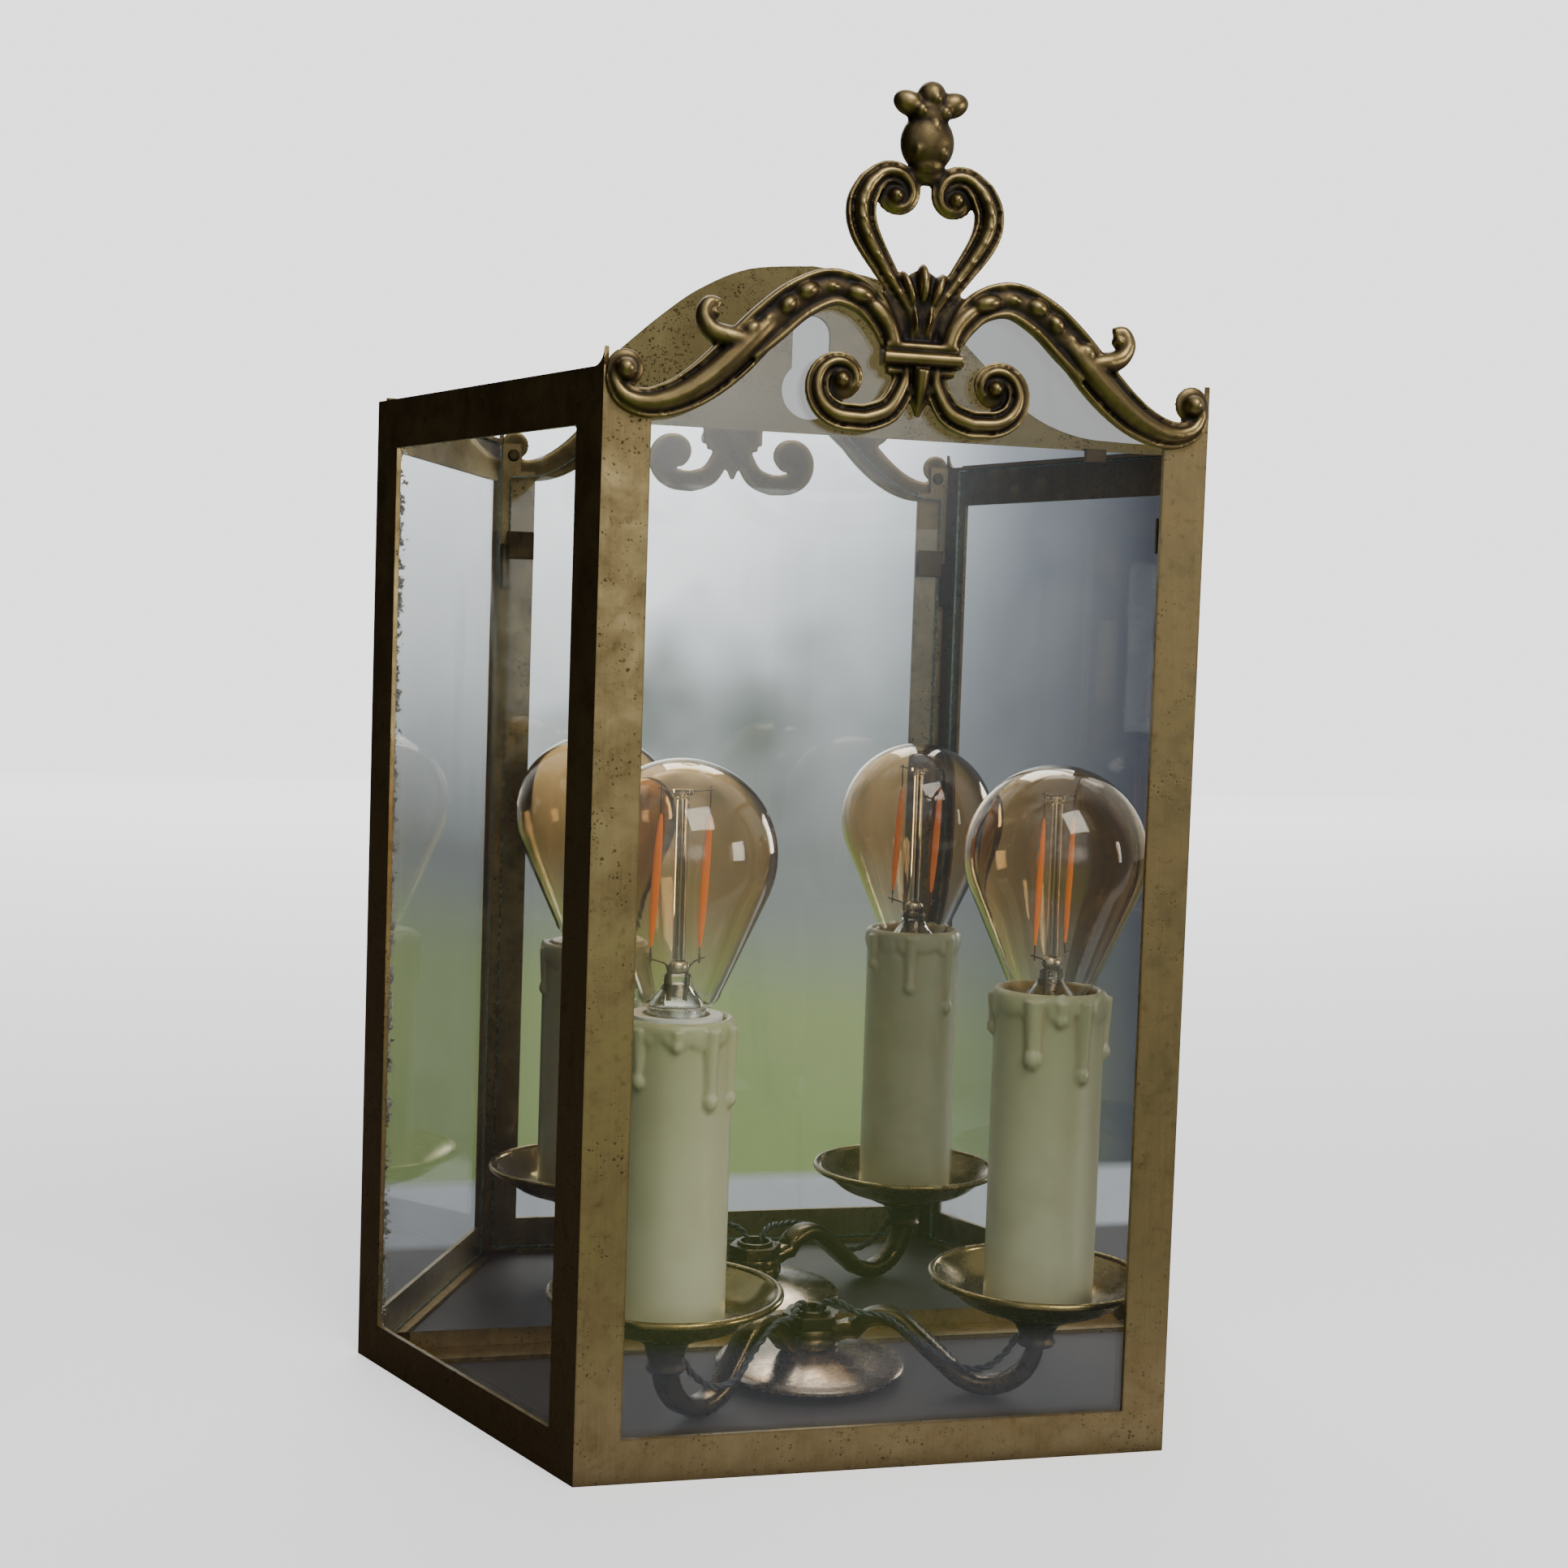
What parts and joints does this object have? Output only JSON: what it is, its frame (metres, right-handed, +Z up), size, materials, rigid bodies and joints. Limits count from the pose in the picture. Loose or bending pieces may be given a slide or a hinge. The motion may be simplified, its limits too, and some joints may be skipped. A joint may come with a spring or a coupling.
{
  "type": "two-light wall lantern",
  "caption": "Half-lantern for a wall: splayed brass frame with glass sides, mirrored back plate with a keyhole, cast scroll crest and imitation candles with electric bulbs.",
  "frame": {"origin": "bottom centre of the whole lantern's bounding box, on the surface that it stands on", "axes": "+X to the right seen from the front, +Y towards the wall, +Z up"},
  "size_m": [0.222, 0.1019, 0.3085],
  "materials": {
    "aged_brass": "aged brass sheet, mottled and unpolished",
    "plate_brass": "aged brass sheet, speckled",
    "cast_brass": "antiqued cast brass, dark in the recesses",
    "bright_brass": "polished turned brass",
    "dark_trim": "tarnished brass trim",
    "mirror": "silvered glass with a worn edge",
    "pane_glass": "clear float glass",
    "ivory_sleeve": "cream imitation wax, satin",
    "holder_plastic": "moulded lampholder plastic",
    "steel": "zinc-plated steel",
    "bulb_cap": "bulb cap",
    "amber_glass": "amber tinted bulb glass",
    "stem_glass": "clear bulb stem",
    "filament": "orange coated LED filament",
    "wire": "dark flexible wire insulation"
  },
  "bodies": {
    "lantern": {"arm_left": "bright_brass", "arm_right": "bright_brass", "back_bottom_rail": "aged_brass", "back_plate": "plate_brass", "base_disc": "bright_brass", "centre_nipple": "bright_brass", "centre_nut": "bright_brass", "contact_left": "bright_brass", "contact_right": "bright_brass", "corner_post_left": "aged_brass", "corner_post_right": "aged_brass", "crest": "cast_brass", "crest_rivets": "dark_trim", "drip_pan_left": "bright_brass", "drip_pan_right": "bright_brass", "front_bottom_rail": "aged_brass", "front_pane": "pane_glass", "holder_body_left": "holder_plastic", "holder_body_right": "holder_plastic", "holder_bracket_left": "steel", "holder_bracket_right": "steel", "lamp_strap": "aged_brass", "mirror": "mirror", "mirror_tabs": "dark_trim", "neck_left": "bright_brass", "neck_right": "bright_brass", "pane_clip_left": "dark_trim", "pane_clip_right": "dark_trim", "rear_stile_left": "aged_brass", "rear_stile_right": "aged_brass", "side_bottom_rail_left": "aged_brass", "side_bottom_rail_right": "aged_brass", "side_pane_left": "pane_glass", "side_pane_right": "pane_glass", "side_top_rail_left": "aged_brass", "side_top_rail_right": "aged_brass", "strap_rivets": "dark_trim", "stud_left": "steel", "stud_right": "steel", "thread_shell_left": "bright_brass", "thread_shell_right": "bright_brass", "wire_left": "wire", "wire_right": "wire"},
    "sleeve_left": {"candle_sleeve_left": "ivory_sleeve"},
    "bulb_left": {"bulb_cap_left": "bulb_cap", "bulb_glass_left": "amber_glass", "bulb_stem_left": "stem_glass", "filaments_left": "filament"},
    "sleeve_right": {"candle_sleeve_right": "ivory_sleeve"},
    "bulb_right": {"bulb_cap_right": "bulb_cap", "bulb_glass_right": "amber_glass", "bulb_stem_right": "stem_glass", "filaments_right": "filament"}
  },
  "joints": [
    {"name": "bulb_turn_left", "type": "hinge", "parent": "lantern", "child": "bulb_left", "pos_m": [-0.04336, -0.01402, 0.1], "axis": [0, 0, 1], "range_deg": [0, 1260]},
    {"name": "bulb_turn_right", "type": "hinge", "parent": "lantern", "child": "bulb_right", "pos_m": [0.05132, -0.00823, 0.1], "axis": [0, 0, 1], "range_deg": [0, 1260]},
    {"name": "sleeve_lift_left", "type": "slide", "parent": "lantern", "child": "sleeve_left", "axis": [0, 0, 1], "range_m": [0, 0.002]},
    {"name": "sleeve_lift_right", "type": "slide", "parent": "lantern", "child": "sleeve_right", "axis": [0, 0, 1], "range_m": [0, 0.002]}
  ]
}
